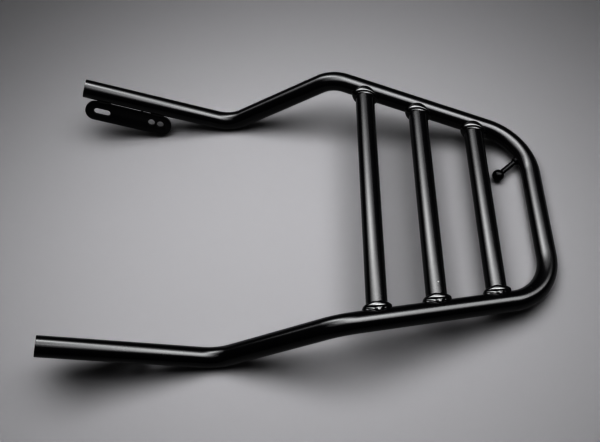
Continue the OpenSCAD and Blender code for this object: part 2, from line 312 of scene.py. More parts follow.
@dataclass(frozen=True)
class Wiring:
    """Node tree whose nodes are wired as they are added.

    Attributes:
        tree: The node tree.
    """

    tree: bpy.types.NodeTree

    def add(self, kind: str) -> bpy.types.Node:
        """Adds one node of a kind."""
        return self.tree.nodes.new(kind)

    def feed(self, socket: bpy.types.NodeSocket, value: Value) -> None:
        """Links a socket to another one, or sets it to a number, a vector or a colour."""
        if isinstance(value, bpy.types.NodeSocket):
            self.tree.links.new(value, socket)
        else:
            socket.default_value = value

    def maths(self, kind: str, *values: Value) -> bpy.types.NodeSocket:
        """Result of one Math node.

        Args:
            kind: Blender's name for the operation.
            *values: What the operation works on.

        Returns:
            The result's socket.
        """
        node = self.add("ShaderNodeMath")
        node.operation = kind
        for socket, value in zip(node.inputs, values):
            self.feed(socket, value)
        return node.outputs[0]

    def product(self, *values: Value) -> bpy.types.NodeSocket:
        """Product of two or more values."""
        found = values[0]
        for value in values[1:]:
            found = self.maths("MULTIPLY", found, value)
        return found

    def total(self, *values: Value) -> bpy.types.NodeSocket:
        """Sum of two or more values."""
        found = values[0]
        for value in values[1:]:
            found = self.maths("ADD", found, value)
        return found

    def ramp(self, value: Value, span: Pair) -> bpy.types.NodeSocket:
        """Value stretched so that the start of a span becomes zero and its end one."""
        node = self.add("ShaderNodeMapRange")
        self.feed(node.inputs["Value"], value)
        self.feed(node.inputs["From Min"], span[0])
        self.feed(node.inputs["From Max"], span[1])
        return node.outputs["Result"]

    def noise(self, place: Value, scale: float, detail: float) -> bpy.types.NodeSocket:
        """Noise with a number of features per metre and a number of finer layers."""
        node = self.add("ShaderNodeTexNoise")
        self.feed(node.inputs["Vector"], place)
        self.feed(node.inputs["Scale"], scale)
        self.feed(node.inputs["Detail"], detail)
        return node.outputs["Fac"]

    def mix(self, share: Value, start: Value, end: Value) -> bpy.types.NodeSocket:
        """Colour between two others."""
        node = self.add("ShaderNodeMix")
        node.data_type = "RGBA"
        self.feed(node.inputs["Factor"], share)
        self.feed(node.inputs["A"], start)
        self.feed(node.inputs["B"], end)
        return node.outputs["Result"]


@dataclass(frozen=True)
class CoatTexture:
    """Texture of a sprayed and baked coat: orange peel, soft cloudiness, dust specks, fine rubs and one chip.

    A scale is a number of features per metre. A span is the pair of values that becomes zero and one.

    Attributes:
        dust_scale: Scale of the cells that may hold a speck of dust.
        dust_span: Span of the distance from a cell's middle.
        patch_scale: Scale of the dusty patches.
        patch_span: Span of the patches' noise.
        rub_scales: Scales of the drawn-out streaks along X, Y and Z.
        rub_span: Span of the streaks' noise.
        worn_scale: Scale of the worn patches.
        worn_span: Span of the worn patches' noise.
        rub_shade: Share of the fleck's colour in a full streak.
        rub_rough: Roughness that a full streak adds.
        dust_rough: Roughness that a full speck adds.
        dust_height: Height of a full speck.
        cloud_scale: Scale of the clouds in the gloss.
        cloud_depth: Depth of the clouds.
        peel_scale: Scale of the orange peel.
        chip_span: Span of the distance from the chip, in metres.
        chip_tone: Colour of the chip.
    """

    dust_scale: float = 260.0
    dust_span: Pair = (0.13, 0.07)
    patch_scale: float = 60.0
    patch_span: Pair = (0.6, 0.72)
    rub_scales: Triple = (260.0, 40.0, 500.0)
    rub_span: Pair = (0.66, 0.74)
    worn_scale: float = 25.0
    worn_span: Pair = (0.55, 0.7)
    rub_shade: float = 0.25
    rub_rough: float = 0.25
    dust_rough: float = 0.3
    dust_height: float = 0.6
    cloud_scale: float = 30.0
    cloud_depth: float = 0.08
    peel_scale: float = 420.0
    chip_span: Pair = (0.0009, 0.0005)
    chip_tone: Triple = (0.6, 0.6, 0.59)

    def sockets(self, tree: bpy.types.NodeTree) -> None:
        """Gives a node group its inputs and outputs."""
        for name, kind, value in (
            ("Tone", "NodeSocketColor", (0.01, 0.01, 0.012, 1.0)),
            ("Fleck", "NodeSocketColor", (0.2, 0.2, 0.2, 1.0)),
            ("Gloss", "NodeSocketFloat", 0.2),
            ("Peel", "NodeSocketFloat", 1.0),
            ("Dust", "NodeSocketFloat", 0.3),
            ("Rubs", "NodeSocketFloat", 0.3),
            ("Chip", "NodeSocketVector", (0.0, 0.0, -1.0)),
        ):
            socket = tree.interface.new_socket(name, in_out="INPUT", socket_type=kind)
            socket.default_value = value
        for name, kind in (("Shade", "Color"), ("Roughness", "Float"), ("Height", "Float")):
            tree.interface.new_socket(name, in_out="OUTPUT", socket_type=f"NodeSocket{kind}")

    def dust(self, wiring: Wiring, place: Value) -> bpy.types.NodeSocket:
        """Sparse specks, thinned out by a slow noise."""
        cells = wiring.add("ShaderNodeTexVoronoi")
        wiring.feed(cells.inputs["Vector"], place)
        wiring.feed(cells.inputs["Scale"], self.dust_scale)
        speck = wiring.ramp(cells.outputs["Distance"], self.dust_span)
        patch = wiring.ramp(wiring.noise(place, self.patch_scale, 2.0), self.patch_span)
        return wiring.product(speck, patch)

    def rubs(self, wiring: Wiring, place: Value) -> bpy.types.NodeSocket:
        """Thin drawn-out streaks where straps have scuffed the coat."""
        stretch = wiring.add("ShaderNodeMapping")
        wiring.feed(stretch.inputs["Vector"], place)
        wiring.feed(stretch.inputs["Scale"], self.rub_scales)
        streak = wiring.ramp(wiring.noise(stretch.outputs["Vector"], 1.0, 3.0), self.rub_span)
        worn = wiring.ramp(wiring.noise(place, self.worn_scale, 1.0), self.worn_span)
        return wiring.product(streak, worn)

    def group(self) -> bpy.types.NodeTree:
        """Node group of the texture.

        Returns:
            A shader node group with the outputs Shade, Roughness and Height.
        """
        tree = bpy.data.node_groups.new("sprayed_coat", "ShaderNodeTree")
        self.sockets(tree)
        wiring = Wiring(tree)
        given, out = wiring.add("NodeGroupInput").outputs, wiring.add("NodeGroupOutput").inputs
        place = wiring.add("ShaderNodeTexCoord").outputs["Object"]
        dust = wiring.product(self.dust(wiring, place), given["Dust"])
        rub = wiring.product(self.rubs(wiring, place), given["Rubs"])

        marks = wiring.maths("MAXIMUM", dust, wiring.product(rub, self.rub_shade))
        shade = wiring.mix(marks, given["Tone"], given["Fleck"])
        away = wiring.add("ShaderNodeVectorMath")
        away.operation = "DISTANCE"
        wiring.feed(away.inputs[0], place)
        wiring.feed(away.inputs[1], given["Chip"])
        chip = wiring.ramp(away.outputs["Value"], self.chip_span)
        wiring.feed(out["Shade"], wiring.mix(chip, shade, (*self.chip_tone, 1.0)))

        cloud = wiring.maths("SUBTRACT", wiring.noise(place, self.cloud_scale, 3.0), 0.5)
        wiring.feed(out["Roughness"], wiring.total(
            given["Gloss"], wiring.product(cloud, self.cloud_depth),
            wiring.product(rub, self.rub_rough), wiring.product(dust, self.dust_rough),
        ))
        peel = wiring.product(wiring.noise(place, self.peel_scale, 2.0), given["Peel"])
        wiring.feed(out["Height"], wiring.total(peel, wiring.product(dust, self.dust_height)))
        return tree


COAT = CoatTexture().group()


@dataclass(frozen=True)
class Finish:
    """Black sprayed coat on one kind of piece.

    Attributes:
        name: Name of the material.
        slot: Material slot of the record; not used.
        tone: Colour of the coat.
        gloss: Roughness of the coat.
        peel: Depth of its orange peel, as a share.
        dust: Strength of the dust specks.
        rubs: Strength of the rubbed streaks.
        clear: Weight of the clear layer on top.
        clear_gloss: Roughness of the clear layer.
        specular: Level of the reflection under the clear layer.
        bump: Strength of the peel's relief.
        bump_depth: Depth of the peel's relief, in metres.
        chip: Place of a bright speck in the coat, in metres.
    """

    name: str
    slot: str
    tone: Triple = (0.006, 0.006, 0.0075)
    gloss: float = 0.2
    peel: float = 1.0
    dust: float = 0.3
    rubs: float = 0.3
    clear: float = 0.3
    clear_gloss: float = 0.12
    specular: float = 0.2
    bump: float = 0.12
    bump_depth: float = 0.0004
    chip: Triple = (0.0, 0.0, -1.0)

    def material(self) -> bpy.types.Material:
        """The finish as a material, built once and then shared."""
        made = bpy.data.materials.get(self.name)
        if made:
            return made
        made = bpy.data.materials.new(self.name)
        made.use_nodes = True
        wiring = Wiring(made.node_tree)
        shader = made.node_tree.nodes["Principled BSDF"].inputs
        coat = wiring.add("ShaderNodeGroup")
        coat.node_tree = COAT
        for name, value in (
            ("Tone", (*self.tone, 1.0)), ("Gloss", self.gloss), ("Peel", self.peel), ("Dust", self.dust),
            ("Rubs", self.rubs), ("Chip", self.chip),
        ):
            coat.inputs[name].default_value = value
        relief = wiring.add("ShaderNodeBump")
        relief.inputs["Strength"].default_value = self.bump
        relief.inputs["Distance"].default_value = self.bump_depth
        wiring.feed(relief.inputs["Height"], coat.outputs["Height"])
        wiring.feed(shader["Base Color"], coat.outputs["Shade"])
        wiring.feed(shader["Roughness"], coat.outputs["Roughness"])
        wiring.feed(shader["Normal"], relief.outputs["Normal"])
        shader["Specular IOR Level"].default_value = self.specular
        shader["Coat Weight"].default_value = self.clear
        shader["Coat Roughness"].default_value = self.clear_gloss
        return made

    def dress(self, obj: bpy.types.Object, place: Matrix, degrees: float, *nodes: str) -> bpy.types.Object:
        """Puts a piece in its place, gives it this finish and its body, and hides the CAD nodes that it
        stands for.

        Args:
            obj: Finished piece, in the frame that it was drawn in.
            place: Matrix from that frame to the floor's frame.
            degrees: Angle above which its edges stay sharp.
            *nodes: CAD nodes that the piece replaces.

        Returns:
            The same piece.
        """
        settle(obj, place)
        smooth(obj, degrees)
        obj.data.materials.clear()
        obj.data.materials.append(self.material())
        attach(obj, "root")
        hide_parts(*nodes)
        log.info("%s: %d faces for %s", obj.name, len(obj.data.polygons), ", ".join(nodes))
        return obj


TUBE_COAT = Finish("gloss_black_tube", "coated_tube")
CHIPPED_COAT = Finish("gloss_black_tube_chipped", "coated_tube", chip=(0.13781, -0.10822, 0.05931))
WELD_COAT = Finish(
    "gloss_black_weld", "coated_weld", gloss=0.14, peel=0.6, dust=0.1, rubs=0.0, clear=0.5, specular=0.25
)
PLATE_COAT = Finish("satin_black_plate", "coated_plate", gloss=0.34, rubs=0.5, clear=0.1, specular=0.24)
PEG_COAT = Finish("gloss_black_peg", "coated_peg", gloss=0.16, rubs=0.1, clear=0.08, specular=0.07)
PEG_WELD_COAT = Finish(
    "satin_black_peg_weld", "coated_weld", gloss=0.24, rubs=0.0, clear=0.04, specular=0.06
)


# Hoop and cross tubes


@dataclass
class Hoop:
    """The one bent tube of the rack, open at its two cut ends.

    Attributes:
        sides: Points round the tube.
        corner_steps: Rings in each rear corner.
        bend_steps: Rings in each of the other bends.
        lip: Width of the worn edge at the cut ends, in millimetres.
        skin: How far the drawn surface stays inside the tube's full radius, in millimetres.
        finish: Finish of the tube.
    """

    sides: int = 72
    corner_steps: int = 28
    bend_steps: int = 16
    lip: float = 0.35
    skin: float = 0.02
    finish: Finish = TUBE_COAT

    def corners(self) -> list[Vector]:
        """Corners of the centre line, from the near cut end round to the far one."""
        half = [PLAN.arm_end, PLAN.low_bend, PLAN.upper_bend, PLAN.corner]
        return [f(Side.NEAR) for f in half] + [f(Side.FAR) for f in reversed(half)]

    def build(self) -> bpy.types.Object:
        """Draws the tube along its centre line, gives it a wall and eases its cut ends."""
        line = self.corners()
        radii = [0.0, PLAN.bend_r, PLAN.bend_r, PLAN.corner_r, PLAN.corner_r, PLAN.bend_r, PLAN.bend_r, 0.0]
        obj = ring_at("hoop_tube", line[0], line[1] - line[0], PLAN.tube_r - self.skin, self.sides)
        at = line[0]
        for i in range(1, len(line) - 1):
            a, v, b, radius = line[i - 1], line[i], line[i + 1], radii[i]
            turn = (v - a).angle(b - v)
            trim = radius * math.tan(turn / 2)
            start = v + (a - v).normalized() * trim
            push(start - at)
            steps = self.corner_steps if radius == PLAN.corner_r else self.bend_steps
            axis = (v - a).cross(b - v).normalized()
            swing(obj, bend_centre(a, v, b, radius), axis, turn, steps)
            at = v + (b - v).normalized() * trim
        push(line[-1] - at)
        bpy.ops.object.mode_set(mode="OBJECT")
        point_out(obj)
        apply(obj, "SOLIDIFY", thickness=PLAN.tube_wall, offset=-1.0, use_even_offset=True)
        sharp = math.radians(SHARP_EDGE)
        apply(obj, "BEVEL", width=self.lip, segments=2, limit_method="ANGLE", angle_limit=sharp)
        return self.finish.dress(
            obj, PLAN.on_floor(), TUBE_ANGLE,
            "rear_loop", "rail_far", "rail_near", "riser_far", "riser_near", "arm_far", "arm_near",
        )


@dataclass
class CrossTubes:
    """The three straight tubes between the rails, with their ends inside the weld.

    Attributes:
        sides: Points round a tube.
        sunk: Distance from a rail's centre line to the hidden end, in millimetres.
        spans: Distances between its rings of points, as shares of its length.
        finish: Finish of the tubes.
        chipped: Finish of the middle tube, which has one bright chip.
    """

    sides: int = 72
    sunk: float = 8.6
    spans: tuple[float, ...] = (0.02, 0.06, 0.25, 0.34, 0.25, 0.06, 0.02)
    finish: Finish = TUBE_COAT
    chipped: Finish = CHIPPED_COAT

    def one(self, cross: Cross) -> bpy.types.Object:
        """Draws one cross tube from rail to rail.

        Args:
            cross: Which of the three tubes.

        Returns:
            The finished piece.
        """
        x = -cross.value * PLAN.platform_l
        end = PLAN.half_width(x) - self.sunk
        start, stop = Vector((x, -end, 0.0)), Vector((x, end, 0.0))
        name = f"cross_tube_{cross.name.lower()}"
        obj = ring_at(f"{name}_piece", start, stop - start, PLAN.tube_r, self.sides)
        for share in self.spans:
            push((stop - start) * share)
        bpy.ops.object.mode_set(mode="OBJECT")
        point_out(obj)
        apply(obj, "SOLIDIFY", thickness=PLAN.tube_wall, offset=-1.0, use_even_offset=True)
        finish = self.chipped if cross is Cross.MIDDLE else self.finish
        return finish.dress(obj, PLAN.on_floor(), TUBE_ANGLE, name)

    def build(self) -> list[bpy.types.Object]:
        """Builds all three."""
        return [self.one(cross) for cross in Cross]


# Welds


@dataclass(frozen=True)
class Lumps:
    """Uneven swell and even ripples along a weld.

    Attributes:
        seed: Number that sets the weld's own swell.
        ripples: Number of ripples in a full turn.
        depth: Depth of a ripple, as a share of the bead.
        swell: Height of the slow swell, as a share of the bead.
        shifts: Turns of the swell's two parts for each step of the seed, in degrees.
    """

    seed: int
    ripples: int = 15
    depth: float = 0.06
    swell: float = 0.05
    shifts: Pair = (50.0, 70.0)

    def at(self, t: float) -> float:
        """Size of the bead at an angle, where one is its plain size."""
        fine = self.depth * math.sin(t * self.ripples / 2 + math.radians(self.seed)) ** 2
        ahead, back = (math.radians(shift * self.seed) for shift in self.shifts)
        return 1 - fine + self.swell * math.sin(2 * t + ahead) * math.cos(3 * t - back)


Profile = tuple[Pair, ...]


def blend(table: Profile, u: float) -> float:
    """Height at a place of a bead's profile, on a smooth curve through the stated places.

    Args:
        table: Places from zero to one with the height at each.
        u: Place from zero to one.

    Returns:
        The height between the two stated places next to u.
    """
    last = len(table) - 1
    k = next((i for i in range(1, last) if u <= table[i][0]), last)
    (u0, h0), (u1, h1) = table[k - 1], table[k]
    before, after = table[max(k - 2, 0)], table[min(k + 1, last)]
    rise0 = (h1 - before[1]) / (u1 - before[0]) * (u1 - u0)
    rise1 = (after[1] - h0) / (after[0] - u0) * (u1 - u0)
    v = (u - u0) / (u1 - u0)
    return (
        h0 * (2 * v**3 - 3 * v**2 + 1) + rise0 * (v**3 - 2 * v**2 + v)
        + h1 * (3 * v**2 - 2 * v**3) + rise1 * (v**3 - v**2)
    )


@dataclass
class Saddle:
    """Weld collar round the end of a cross tube, where it sits on the round side of a rail.

    The collar starts with a toe on the cross tube and ends on a thin ledge with its own toe on the rail. The
    far collars have a groove between two passes on top, the near ones a flat top with a small crater where
    the bead was closed. Places across the bead go from zero at the cross tube to one at the rail.

    Attributes:
        side: Side of the rail.
        cross: Cross tube that is welded.
        seed: Number that sets the bead's own lumps.
        leg: Reach of the bead along the rail and the side of the cross tube, in millimetres.
        crown: Extra height of the bead on top of the tubes.
        side_crown: Share of the crown that is left at the sides of the tubes.
        root_gap: Gap between the coped end and the rail.
        climb: Share of the leg by which the bead climbs the rail on top.
        slant: Share of the rail's slant that the toe on the cross tube takes on.
        crater: Depth of the crater, in millimetres.
        crater_at: Place of the crater across the bead.
        crater_span: Its half width across the bead.
        crater_arc: Its half width round the bead, in radians.
        crater_turn: Its turn away from the top for each step of the seed, in radians.
        crater_seed: Seed at which it would be right on top.
        rings: Rings of points round the bead.
        points: Points round the section of the bead.
        depth: Depth of a ripple, as a share of the bead.
        swell: Height of the slow swell, as a share of the bead.
        finish: Finish of the bead.
        grooved: Top outline of a far bead, in millimetres along from the rail's centre line and up from the
            plane of the centre lines.
        flat: Top outline of a near bead.
    """

    side: Side
    cross: Cross
    seed: int
    leg: float = 4.6
    crown: float = 2.1
    side_crown: float = 0.35
    root_gap: float = 1.5
    climb: float = 0.3
    slant: float = 0.35
    crater: float = 0.4
    crater_at: float = 0.17
    crater_span: float = 0.06
    crater_arc: float = 0.42
    crater_turn: float = 0.12
    crater_seed: float = 3.5
    rings: int = 252
    points: int = 64
    depth: float = 0.006
    swell: float = 0.03
    finish: Finish = WELD_COAT
    grooved: Profile = (
        (-15.2, 11.25), (-14.8, 11.42), (-14.45, 11.5), (-14.15, 11.38), (-13.9, 11.15), (-13.6, 11.08),
        (-13.2, 11.36), (-12.6, 11.95), (-12.1, 12.35), (-11.5, 12.62), (-10.6, 12.75), (-9.6, 12.78),
        (-8.6, 12.72), (-7.8, 12.5), (-7.1, 12.0), (-6.5, 11.4), (-5.8, 10.95), (-5.0, 10.6),
    )
    flat: Profile = (
        (-15.35, 11.35), (-15.0, 11.65), (-14.5, 11.9), (-13.9, 12.08), (-13.1, 12.2), (-12.0, 12.26),
        (-10.9, 12.22), (-10.1, 12.04), (-9.55, 11.68), (-9.05, 11.1), (-8.6, 10.6), (-8.15, 10.3),
        (-7.5, 10.2), (-6.75, 10.1), (-6.35, 9.75), (-5.95, 9.15), (-5.0, 9.6),
    )

    @cached_property
    def top(self) -> Profile:
        """Top outline of the bead over its plain round section.

        Returns:
            Places across the bead, with the height at each as a share of the crown.
        """
        r = PLAN.tube_r
        cope = r + self.root_gap
        rise = math.asin(r / cope)
        lift = rise + self.leg * self.climb / r
        end, toe = Vector((-cope * math.cos(rise), r)), Vector((-r - self.leg, r))
        tip = r * Vector((-math.cos(lift), math.sin(lift)))
        normal = Vector((-math.cos(rise), 1 + math.sin(rise))).normalized()
        table = []
        for point in self.flat if self.side is Side.NEAR else self.grooved:
            low, high = 0.0, 1.0
            for _ in range(HALVINGS):
                u = (low + high) / 2
                a = math.pi / 2 * u
                off = Vector(point) - end - (toe - end) * math.cos(a) - (tip - end) * math.sin(a)
                low, high = (u, high) if off.cross(normal) > 0 else (low, u)
            table.append((round(u, 3), round(off.dot(normal) / self.crown, 3)))
        return (0.0, 0.0), *table, (1.0, 0.0)

    def height(self, t: float, u: float) -> float:
        """Height of the bead over its plain round section.

        Args:
            t: Angle round the cross tube, zero at the rear.
            u: Place across the bead.

        Returns:
            Height in millimetres.
        """
        above = 1 - math.cos(t) ** 4 if math.sin(t) > 0 else 0.0
        plain = math.sin(math.pi * u)
        shape = plain + (blend(self.top, u) - plain) * above
        dip = 0.0
        if self.side is Side.NEAR:
            turn = math.pi / 2 + self.crater_turn * (self.seed - self.crater_seed)
            away = ((t - turn) / self.crater_arc) ** 2 + ((u - self.crater_at) / self.crater_span) ** 2
            dip = self.crater * math.exp(-away)
        return self.crown * (self.side_crown + (1 - self.side_crown) * math.sin(t) ** 2) * shape - dip

    def section(self, t: float) -> list[Vector]:
        """Points of one ring of the bead, in the platform's frame.

        Args:
            t: Angle round the cross tube, zero at the rear.

        Returns:
            As many points as the bead has round its section.
        """
        r, s, taper = PLAN.tube_r, self.side.value, PLAN.taper
        cope, up = r + self.root_gap, Vector((0.0, 0.0, 1.0))
        x, shift, z = -self.cross.value * PLAN.platform_l, r * math.cos(t), r * math.sin(t)
        along = Vector((math.cos(taper), -s * math.sin(taper), 0.0))
        out = Vector((math.sin(taper), s * math.cos(taper), 0.0))
        size = Lumps(self.seed, depth=self.depth, swell=self.swell).at(t)
        leg, rise = self.leg * size, math.asin(z / cope)
        end_y = PLAN.half_width(x + shift) - cope * math.cos(rise) / math.cos(taper)
        toe_y = PLAN.half_width(x + shift * self.slant) - (r + leg) / math.cos(taper)
        toe_y = min(toe_y, end_y - self.root_gap / 2)
        end, toe = Vector((x + shift, s * end_y, z)), Vector((x + shift, s * toe_y, z))
        axis = end + cope * (out * math.cos(rise) - up * math.sin(rise))

        def foot(share: float) -> Vector:
            """Point on the rail, from under the coped end to the toe."""
            reach = leg * share
            lift = rise + reach * self.climb * math.sin(t) / r
            return axis + reach * math.cos(t) * along + r * (up * math.sin(lift) - out * math.cos(lift))

        tube_out = Vector((math.cos(t), 0.0, math.sin(t)))
        normal = (tube_out - out * math.cos(rise) + up * math.sin(rise)).normalized()
        tip = foot(1.0)
        hidden = [foot(0.66), foot(0.33), foot(0.0), end, end.lerp(toe, 0.5)]
        shown = self.points - len(hidden) - 1
        ring = []
        for k in range(shown + 1):
            u = k / shown
            a = math.pi / 2 * u
            lift = normal * self.height(t, u) * size
            ring.append(end + (toe - end) * math.cos(a) + (tip - end) * math.sin(a) + lift)
        return ring + hidden

    def build(self) -> bpy.types.Object:
        """Bends a torus into the saddle and dresses it."""
        deselect()
        bpy.ops.mesh.primitive_torus_add(major_segments=self.rings, minor_segments=self.points)
        obj = bpy.context.object
        node = f"weld_{self.cross.name.lower()}_{self.side.name.lower()}"
        obj.name = f"{node}_piece"
        for i in range(self.rings):
            for j, point in enumerate(self.section(2 * math.pi * i / self.rings)):
                obj.data.vertices[i * self.points + j].co = point
        point_out(obj)
        return self.finish.dress(obj, PLAN.on_floor(), WELD_ANGLE, node)


# Bracket plates


@dataclass(frozen=True)
class PlatePlan:
    """Outline of a bracket plate, in millimetres from the cut end and the centre line of its arm.

    Attributes:
        length: Length of the plate.
        height: Height of the plate, whose two ends are half round.
        thick: Thickness of the plate.
        inset: Distance from the arm's cut end to the plate.
        gap: Gap between the arm and the long top edge.
        swing: Turn of the plate round the arm's centre line, towards the inside, in degrees.
        hole: Diameter of the holes and width of the slot.
        slot: Length of the slot.
        land_share: Length of a land, as a share of the plate's length.
        slot_share: Place of the slot along the plate.
        tack_share: Place of the tack along the plate.
        hole_shares: Places of the two holes along the plate.
        hole_rise_share: Rise of the two holes over the middle, as a share of the plate's height.
    """

    length: float = 108.0
    height: float = 24.4
    thick: float = 4.0
    inset: float = 5.2
    gap: float = 2.9
    swing: float = 24.0
    hole: float = 9.0
    slot: float = 21.0
    land_share: float = 0.155
    slot_share: float = 0.191
    tack_share: float = 0.632
    hole_shares: Pair = (0.763, 0.867)
    hole_rise_share: float = 0.07

    @property
    def top(self) -> float:
        """Depth of the long top edge below the centre line of the arm."""
        return PLAN.tube_r + self.gap

    @property
    def mid(self) -> float:
        """Depth of the middle of the plate."""
        return self.top + self.height / 2

    @property
    def land(self) -> float:
        """Length of a land that reaches up to the arm."""
        return self.length * self.land_share

    def lands(self) -> Pair:
        """Places of the two lands along the arm, at the cut end and at the bend."""
        round_end = self.inset + self.height / 2 + self.land / 2
        return round_end, 2 * self.inset + self.length - round_end

    def place(self, side: Side) -> Matrix:
        """Matrix from the plate's plane to the platform's frame.

        Args:
            side: Side of the rack.

        Returns:
            Matrix with X down the arm, Y down the plate and Z through its thickness.
        """
        way = PLAN.arm_dir(side)
        below = Vector((0.0, 1.0, 0.0)).cross(way).normalized()
        below = below if below.z < 0 else -below
        inner = way.cross(below).normalized()
        inner = inner if inner.y * side.value < 0 else -inner
        swing = math.radians(self.swing)
        x, y = -way, below * math.cos(swing) + inner * math.sin(swing)
        turn = Matrix((x, y, x.cross(y))).transposed().to_4x4()
        return Matrix.Translation(PLAN.arm_end(side)) @ turn


PLATE = PlatePlan()


def disc(x: float, y: float, radius: float, thick: float, sides: int = 96) -> bpy.types.Object:
    """Adds a flat round slab in the plate's plane."""
    deselect()
    bpy.ops.mesh.primitive_cylinder_add(vertices=sides, radius=radius, depth=thick, location=(x, y, 0.0))
    bpy.ops.object.transform_apply(location=True, rotation=True, scale=True)
    return bpy.context.object


def slab(x: float, y: float, length: float, height: float, thick: float) -> bpy.types.Object:
    """Adds a flat square slab in the plate's plane."""
    deselect()
    bpy.ops.mesh.primitive_cube_add(size=1.0, location=(x, y, 0.0), scale=(length, height, thick))
    bpy.ops.object.transform_apply(location=True, rotation=True, scale=True)
    return bpy.context.object


def carve(obj: bpy.types.Object, kind: str, *tools: bpy.types.Object) -> None:
    """Adds to or cuts from an object with others, which are then removed.

    Args:
        obj: Object that is changed.
        kind: UNION or DIFFERENCE.
        *tools: Objects that are joined or cut away.
    """
    for tool in tools:
        apply(obj, "BOOLEAN", operation=kind, object=tool, solver="EXACT")
        bpy.data.objects.remove(tool)


@dataclass
class BracketPlate:
    """Slotted plate under one arm, with two lands that reach up to the tube.

    Attributes:
        side: Side of the rack.
        edge: Width of the eased edge, in millimetres.
        hole_sides: Points round a hole.
        tube_sides: Points round the tube that is cut out of the lands.
        tube_l: Length of that tube.
        level: Angle below which neighbouring faces are merged, in degrees.
        finish: Finish of the plate.
    """

    side: Side
    edge: float = 0.45
    hole_sides: int = 48
    tube_sides: int = 128
    tube_l: float = 300.0
    level: float = 0.5
    finish: Finish = PLATE_COAT

    def build(self) -> bpy.types.Object:
        """Joins the slabs, drills the slot and holes, and eases every edge."""
        p, r = PLATE, PLATE.height / 2
        left, right = p.inset + r, p.inset + p.length - r
        plate = slab((left + right) / 2, p.mid, right - left, p.height, p.thick)
        plate.name = f"bracket_{self.side.name.lower()}_piece"
        carve(plate, "UNION", disc(left, p.mid, r, p.thick), disc(right, p.mid, r, p.thick))
        carve(plate, "UNION", *(slab(x, p.mid / 2, p.land, p.mid, p.thick) for x in p.lands()))
        deep, half = 3 * p.thick, (p.slot - p.hole) / 2
        slot, rise = p.inset + p.length * p.slot_share, p.mid - p.height * p.hole_rise_share
        holes = [(slot - half, p.mid), (slot + half, p.mid)]
        holes += [(p.inset + p.length * share, rise) for share in p.hole_shares]
        cuts = [disc(x, y, p.hole / 2, deep, self.hole_sides) for x, y in holes]
        cuts.insert(2, slab(slot, p.mid, 2 * half, p.hole, deep))
        deselect()
        bpy.ops.mesh.primitive_cylinder_add(
            vertices=self.tube_sides, radius=PLAN.tube_r, depth=self.tube_l,
            location=(p.length / 2, 0.0, 0.0), rotation=(0.0, math.pi / 2, 0.0),
        )
        carve(plate, "DIFFERENCE", *cuts, bpy.context.object)
        take(plate)
        bpy.ops.object.mode_set(mode="EDIT")
        bpy.ops.mesh.select_all(action="SELECT")
        bpy.ops.mesh.dissolve_limited(angle_limit=math.radians(self.level))
        bpy.ops.object.mode_set(mode="OBJECT")
        point_out(plate)
        sharp = math.radians(SHARP_EDGE)
        apply(plate, "BEVEL", width=self.edge, segments=3, limit_method="ANGLE", angle_limit=sharp)
        place = PLAN.on_floor() @ p.place(self.side)
        return self.finish.dress(plate, place, TURNED_ANGLE, f"bracket_{self.side.name.lower()}")


